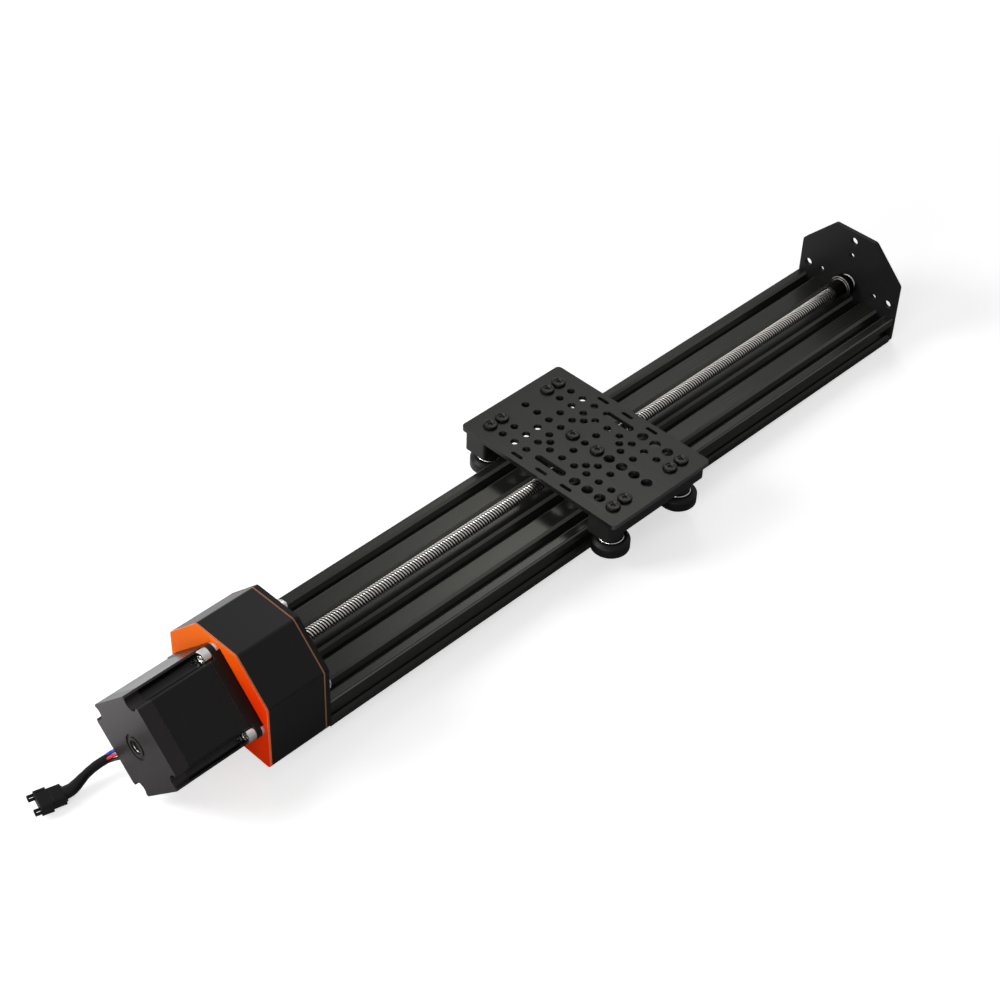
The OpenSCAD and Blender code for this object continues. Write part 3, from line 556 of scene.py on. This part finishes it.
def addConnector():
    c = connector
    turn = (Matrix.Translation(c["at"]) @ Matrix.Rotation(math.radians(c["turn"]), 4, "Z")
            @ Matrix.Scale(c["scale"], 4))
    shape = Shape()

    def slab(outline, low, high, edge=0.35):
        layers = [(low, edge), (low + edge, 0), (high - edge, 0), (high, edge)]
        shape.skin([[turn @ p for p in ring] for ring in slabRings(outline, layers)])

    def block(x0, x1, y0, y1, low, high, edge):
        slab([(x0, y0), (x1, y0), (x1, y1), (x0, y1)], low, high, edge)

    half, rear, waist, front, long = (c[k] for k in ("half", "rear", "waist", "front", "long"))
    flank = [(0, rear), (waist, rear), (waist, front), (long, front)]
    slab([(x, -y) for x, y in flank] + flank[::-1], -half, half)
    x0, x1, high, wall = (c[k] for k in ("prongFrom", "prongTo", "prongHalf", "wall"))
    for side in (-1, 1):
        low, top = sorted((side * c["prong"], side * front))
        block(x0, x1, low, low + wall, -high, high, 0.2)      # a latch prong, with a window through it
        block(x0, x1, top - wall, top, -high, high, 0.2)
        block(x1 - 1, x1, low, top, -high, high, 0.2)
        block(9.5, 15, side * c["rib"] - 0.5, side * c["rib"] + 0.5, 2.9, 3.45, 0.15)
    block(1.2, 7.4, -c["panel"], c["panel"], 2.9, 3.4, 0.2)   # raised panel over the wire cells
    for i in range(4):
        y = (i - 1.5) * c["cell"]
        block(-0.9, 0.5, y - 1.15, y + 1.15, -1.6, 1.6, 0.25)
    return shape.piece("cableConnector", "base", "black_plastic", ["nylon"], ["cable_connector"])


cord, wires, cableLine, cableRun = addCable()
plug = addConnector()
tuple(cableLine[0] * mm)
[tuple(p * mm) for p in cableLine]
print("cable made, length", round(cableRun[-1], 1))


# Helical thread about X, right-handed, with its ends cut square
def threadRings(shape, spec, low, high, at):
    n, pitch, starts, r, root = (spec[k] for k in ("steps", "pitch", "starts", "r", "rootR"))
    crest, flank = spec["crest"] * pitch, spec["flank"] * pitch
    profile = [(0.0, r), (crest, r), (crest + flank, root), (pitch - flank, root)]
    lead = pitch * starts
    turns = int((high - low + lead) / pitch) + starts + 1
    base = len(shape.points)
    count = turns * len(profile)
    for k in range(n):
        a = 2 * math.pi * k / n
        for j in range(count):
            along, reach = profile[j % len(profile)]
            x = low - lead + pitch * (j // len(profile)) + along + lead * k / n
            if x <= low or x >= high:
                x, reach = min(max(x, low), high), root
            shape.points.append(Vector((x, at[0] + reach * math.cos(a), at[1] + reach * math.sin(a))))
    for k in range(n):
        slip = starts * len(profile) if k == n - 1 else 0    # one turn on, the thread is a lead further
        for j in range(count - 1 - slip):
            a, b = base + k * count + j, base + (k + 1) % n * count + j + slip
            shape.faces.append((a, a + 1, b + 1, b))
            shape.marks.append(0)


leadScrew = {"r": 4.0, "rootR": 3.0, "pitch": 2.0, "starts": 4, "crest": 0.38, "flank": 0.12, "steps": 40,
             "journalR": 3.0, "journalFrom": 249.5, "chamfer": 0.4}


def addLeadScrew():
    low, high = (c.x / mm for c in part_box("lead_screw"))
    r, start, chamfer = (leadScrew[k] for k in ("journalR", "journalFrom", "chamfer"))
    shape = Shape()
    threadRings(shape, leadScrew, low, start, (0, axisZ / mm))
    made = shape.piece("leadScrew", "screw", "steel", ["screw"], ["lead_screw"], sharp=25, merge=0.002)
    work = bmesh.new()
    work.from_mesh(made.data)
    bmesh.ops.dissolve_degenerate(work, edges=work.edges, dist=0.002 * mm)
    bmesh.ops.holes_fill(work, edges=[e for e in work.edges if e.is_boundary], sides=0)
    work.to_mesh(made.data)
    work.free()
    end = Shape()
    end.skin(stand([ringOf(r, 0), ringOf(r, high - start - chamfer), ringOf(r - chamfer, high - start)],
                   (start, 0, axisZ / mm), (1, 0, 0)))
    end.piece("screwJournal", "screw", "steel", ["bright"])


addLeadScrew()
print("lead screw made")

socketScrew = {"r": 4.25, "h": 5.0, "socket": 2.0, "depth": 3.0, "shank": 2.45, "edge": 0.5}
lowScrew = {"r": 4.5, "h": 1.9, "socket": 1.5, "depth": 1.5, "shank": 2.4, "edge": 0.7, "dish": 0.7}
motorCircle = 33.33   # radius of the circle of the motor's bolts, which leaves its lowest corner free
motorCorners = [(motorCircle, 0), (0, motorCircle), (-motorCircle, 0)]


def addScrews():
    start, stop = (c.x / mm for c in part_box("motor_bolts"))
    at = start + socketScrew["h"]
    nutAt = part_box("motor_nuts")[0].x / mm
    bolts, nuts = Shape(), Shape()
    for y, z in motorCorners:
        rings = screwRings({**socketScrew, "long": stop - at}, 72)
        bolts.skin(stand(rings, (at, y, z + axisZ / mm), (-1, 0, 0)))
        nuts.skin(stand(nutRings(), (nutAt, y, z + axisZ / mm), (1, 0, 0)), loop=True)
    bolts.piece("motorBolts", "base", "steel", ["bright"], ["motor_bolts"])
    nuts.piece("motorNuts", "base", "steel", ["zinc"], ["motor_nuts"])


addScrews()

rearBush = {"r": 4.25, "bore": 3.65, "in": 1.0, "deep": 0.7, "edge": 0.2}


# The end of the bearing's bush, seen in the hole of the rear cap
def addRearBush():
    r, bore, deep, edge = (rearBush[k] for k in ("r", "bore", "deep", "edge"))
    profile = [(bore, edge + 0.05), (bore + edge, 0), (r - edge, 0), (r, edge), (r, deep), (bore, deep)]
    at = (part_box("motor_rear_cap")[0].x / mm + rearBush["in"], 0, axisZ / mm)
    shape = Shape()
    shape.skin(stand([ringOf(reach, along) for reach, along in profile], at, (1, 0, 0)), loop=True)
    shape.piece("rearBush", "base", "steel", ["greyOxide"])


addRearBush()


# Bolts of the gantry: node, how far from its middle along and across, length under the head.
# Those without a distance across stand in line with the wheels.
gantryBolts = {
    "axleBolts": ("axle_bolts", 30, None, 37.2),
    "barBolts": ("bar_bolts", 20, None, 13.3),
    "nutBlockBolts": ("nut_block_bolts", 0, 10, 14.0),
}


def addGantryScrews():
    plate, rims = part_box("gantry_plate"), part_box("axle_nuts")
    middle, top = (plate[0].x + plate[1].x) / 2 / mm, plate[1].z / mm
    wheelY = (rims[1].y - rims[0].y) / 2 / mm - lockNut["flat"]
    for name, (node, along, across, long) in gantryBolts.items():
        shape = Shape()
        for sx in (-1, 1) if along else (0,):
            for sy in (-1, 1):
                rings = screwRings({**lowScrew, "long": long})
                shape.skin(stand(rings, (middle + sx * along, sy * (across or wheelY), top)))
        shape.piece(name, "carriage", "black_steel", ["oxide"], [node])
    nuts = Shape()
    along = gantryBolts["axleBolts"][1]
    for sx in (-1, 1):
        for sy in (-1, 1):
            at = (middle + sx * along, sy * wheelY, rims[1].z / mm)
            nuts.skin(stand(nutRings(), at, (0, 0, -1)), loop=True)
    nuts.piece("axleNuts", "carriage", "steel", ["zinc"], ["axle_nuts"])


addGantryScrews()
print("fasteners made")

# half, crest and lipHalf are half heights: of the tyre, of its rim, and of the lip between its
# bearings. shoulder and tip round it where the slanted flank begins and ends.
wheel = {"r": 11.95, "half": 5.1, "crest": 2.95, "seat": 8.0, "lip": 7.0, "lipHalf": 0.5, "edge": 0.3,
         "shoulder": [(-0.45, 0), (-0.1, -0.12), (0.25, -0.35)],
         "tip": [(-0.3, 0.3), (-0.08, 0.05), (0, -0.2)]}


def addWheels():
    r, high, crest, seat, lip, lipHalf, edge = (
        wheel[k] for k in ("r", "half", "crest", "seat", "lip", "lipHalf", "edge"))
    flankR = r - (high - crest)
    half = [(seat, lipHalf), (seat, high - edge), (seat + edge, high)]
    half += [(flankR + out, high + up) for out, up in wheel["shoulder"]]
    half += [(r + out, crest + up) for out, up in wheel["tip"]]
    profile = [(lip, lipHalf)] + half + [(out, -up) for out, up in reversed(half)] + [(lip, -lipHalf)]
    for i in range(1, 5):
        centre = sum(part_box(f"wheel_{i}"), Vector()) / 2 / mm
        shape = Shape()
        shape.skin([[p + centre for p in ringOf(out, up, 96)] for out, up in profile], loop=True)
        shape.piece(f"wheelTyre{i}", f"wheel_{i}_body", "wheel_plastic", ["acetal"], [f"wheel_{i}"])


addWheels()

collar = {"r": 8.0, "wide": 5.0, "nose": 2.5, "noseR": 5.0, "bore": 4.05, "chamfer": 0.45,
          "hubR": 5.3, "hubEdge": 0.3, "step": 6.2, "stepEdge": 0.4}


# Lock collars, with a painted highlight of lighter metal on the edges of the rim. The far one has a hub
# towards the gantry.
def addCollar(name, node):
    low, high = (c.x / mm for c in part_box(node))
    r, wide, nose, noseR, bore, chamfer = (
        collar[k] for k in ("r", "wide", "nose", "noseR", "bore", "chamfer"))
    hubR, hubEdge, step, stepEdge = (collar[k] for k in ("hubR", "hubEdge", "step", "stepEdge"))
    hub = high - low - wide - nose
    profile = [(bore, -hub, 0)]     # radius, place along the axis, and 1 where the rim's edge carries a painted highlight
    if hub > 1:
        profile += [(hubR - hubEdge, -hub, 0), (hubR, hubEdge - hub, 0), (hubR, 0, 0),
                    (step, 0, 0), (step, -stepEdge, 1), (step + stepEdge, 0, 0)]
    profile += [(r - chamfer, 0, 1), (r, chamfer, 0), (r, wide - chamfer, 1), (r - chamfer, wide, 0),
                (noseR, wide, 0), (noseR, wide + nose, 0), (bore, wide + nose, 0)]
    rings = [ringOf(out, along, 64) for out, along, paintedEdgeHighlight in profile]
    shape = Shape()
    shape.skin(stand(rings, (low + hub, 0, axisZ / mm), (1, 0, 0)), mark=[p[2] for p in profile], loop=True)
    shape.piece(name, "screw", "black_steel", ["oxide", "greyOxide"], [node])


addCollar("farCollar", "far_collar")
addCollar("nearCollar", "near_collar")
print("wheels and collars made")

# Which finish each remaining solid gets, and how far its edges are rounded, in millimetres
finishes = {
    "beam": ("beam", 0.18), "far_end_plate": ("plate", 0.25), "far_plate_screws": ("oxide", 0.2),
    "near_end_plate": ("plate", 0.25), "liner_plate": ("liner", 0.1), "near_plate_screws": ("zinc", 0.2),
    "housing_shell": ("shell", 0.15), "standoffs": ("bright", 0.2), "motor_plate": ("orange", 0.15),
    "motor_flange": ("flange", 0.3), "motor_stator": ("motorPaint", 0.3), "motor_rear_cap": ("capPaint", 0.4),
    "far_bearing_outer_ring": ("bright", 0.8), "far_bearing_seals": ("seal", 0.0),
    "near_bearing_outer_ring": ("bright", 0.6), "near_bearing_seals": ("seal", 0.0),
    "motor_bearing_outer_rings": ("bright", 0.2), "cable_grommet": ("nylon", 0.4),
    "collar_set_screws": ("zinc", 0.1), "coupling": ("turned", 0.25), "coupling_set_screws": ("oxide", 0.1),
    "motor_shaft": ("bright", 0.3), "rotor": ("laminated", 0.3), "shaft_inner_rings": ("bright", 0.2),
    "gantry_plate": ("gantry", 0.3), "spacer_bar_left": ("bar", 0.4), "spacer_bar_right": ("bar", 0.4),
    "nut_block": ("nutPlastic", 0.5), "wheel_inner_rings": ("bright", 0.2), "wheel_shims": ("bright", 0.1),
}
for i in range(1, 5):
    finishes[f"wheel_{i}_bearings"] = ("bright", 0.5)
    finishes[f"wheel_{i}_seals"] = ("seal", 0.0)


def finishSolids():
    for name, (look, edge) in finishes.items():
        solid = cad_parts[name]
        solid.data.materials.clear()
        solid.data.materials.append(looks[look])
        if edge:
            weld = solid.modifiers.new("weld", "WELD")
            weld.merge_threshold = 0.000001
            bevel = solid.modifiers.new("edge", "BEVEL")
            bevel.width, bevel.segments = edge * mm, 2
            bevel.limit_method, bevel.angle_limit = "ANGLE", math.radians(35)
            even = solid.modifiers.new("even", "WEIGHTED_NORMAL")
            even.keep_sharp = False


finishSolids()
print("solids finished")

# The floor leans with the module, which rests on its motor corner at low, at. It glows white for the
# camera, and for reflections only behind the object, between the two distances in behind.
floor = {"low": -9.56, "at": -294.8, "gap": 0.05, "lean": 0.01745, "half": 3.0, "paper": 0.86, "glow": 0.62,
         "plainFrom": 0.45, "plainTo": 0.9, "mirrored": 0.35, "mirrorGlow": 0.86, "behind": (-0.02, 0.10)}


def lightPaths(board):
    return [board.node("LightPath", out=k) for k in ("Is Camera Ray", "Is Glossy Ray", "Is Transmission Ray")]


def addFloor():
    f = floor
    mesh = bpy.data.meshes.new("floor")
    level = (f["low"] - f["gap"] - f["at"] * f["lean"]) * mm
    corners = [(x * f["half"], y * f["half"], level + x * f["half"] * f["lean"])
               for x, y in ((-1, -1), (1, -1), (1, 1), (-1, 1))]
    mesh.from_pydata(corners, [], [(0, 1, 2, 3)])
    made = bpy.data.objects.new("floor", mesh)
    scene.collection.objects.link(made)
    look = Look("floorPaper", Roughness=1.0, Specular_IOR_Level=0.0, Emission_Strength=1.0)
    camera, glossy, through = lightPaths(look)
    x, y, z = look.parts(look.place())
    far = look.rise(look.maths("SQRT", x * x + y * y), f["plainFrom"], f["plainTo"])
    glow = (camera + through) * (far * (1 - f["glow"]) + f["glow"])
    glow = glow + glossy * look.rise(y, *f["behind"]) * f["mirrorGlow"]
    look.feed("Base Color", look.mix(glossy, (f["paper"],) * 3, (f["mirrored"],) * 3))
    look.feed("Emission Color", look.mix(glow, (0, 0, 0), (1, 1, 1)))
    mesh.materials.append(look.mat)


addFloor()

lamps = {
    "behind": {"at": (0.952, 0.785, 1.445), "aim": (0.0, 0.0, 0.0), "size": 0.47, "power": 2.8},
    "left": {"at": (-1.5, 1.0, 1.0), "aim": (-0.1, 0.0, 0.0), "size": 0.9, "power": 19.5},
    "front": {"at": (-1.7, -0.5, 0.5), "aim": (-0.3, 0.0, 0.0), "size": 0.9, "power": 11.0},
}


def addLamps():
    for name, lamp in lamps.items():
        data = bpy.data.lights.new(name, "AREA")
        data.shape, data.size, data.energy = "SQUARE", lamp["size"], lamp["power"]
        made = bpy.data.objects.new(name, data)
        made.location = lamp["at"]
        made.rotation_mode = "QUATERNION"
        made.rotation_quaternion = (Vector(lamp["aim"]) - Vector(lamp["at"])).to_track_quat("-Z", "Y")
        scene.collection.objects.link(made)


# The room is brighter behind the object and above it than behind the camera and to the right.
# white is how much of the white background reflections see, and shine brightens the rest for them.
room = {"towards": (0.35, 0.62, 0.70), "from": -0.2, "to": 0.8, "dark": 0.04, "bright": 0.28,
        "white": 0.30, "shine": 0.14}


def addRoom():
    world = bpy.data.worlds.new("room")
    world.use_nodes = True
    scene.world = world
    board = Board(world.node_tree)
    camera, glossy, through = lightPaths(board)
    facing = board.node("VectorMath", {"operation": "DOT_PRODUCT"},
                        {0: board.node("TexCoord", out="Generated"), 1: room["towards"]}, out="Value")
    level = board.rise(facing, room["from"], room["to"]) * (room["bright"] - room["dark"]) + room["dark"]
    ground = world.node_tree.nodes["Background"]
    ground.inputs["Color"].default_value = (1, 1, 1, 1)
    board.plug(ground.inputs["Strength"], level * (1.0 - camera - through + glossy * room["shine"])
               + (camera + through + glossy * room["white"]))


addLamps()
addRoom()
scene.view_settings.view_transform = "Standard"

print("stage made")
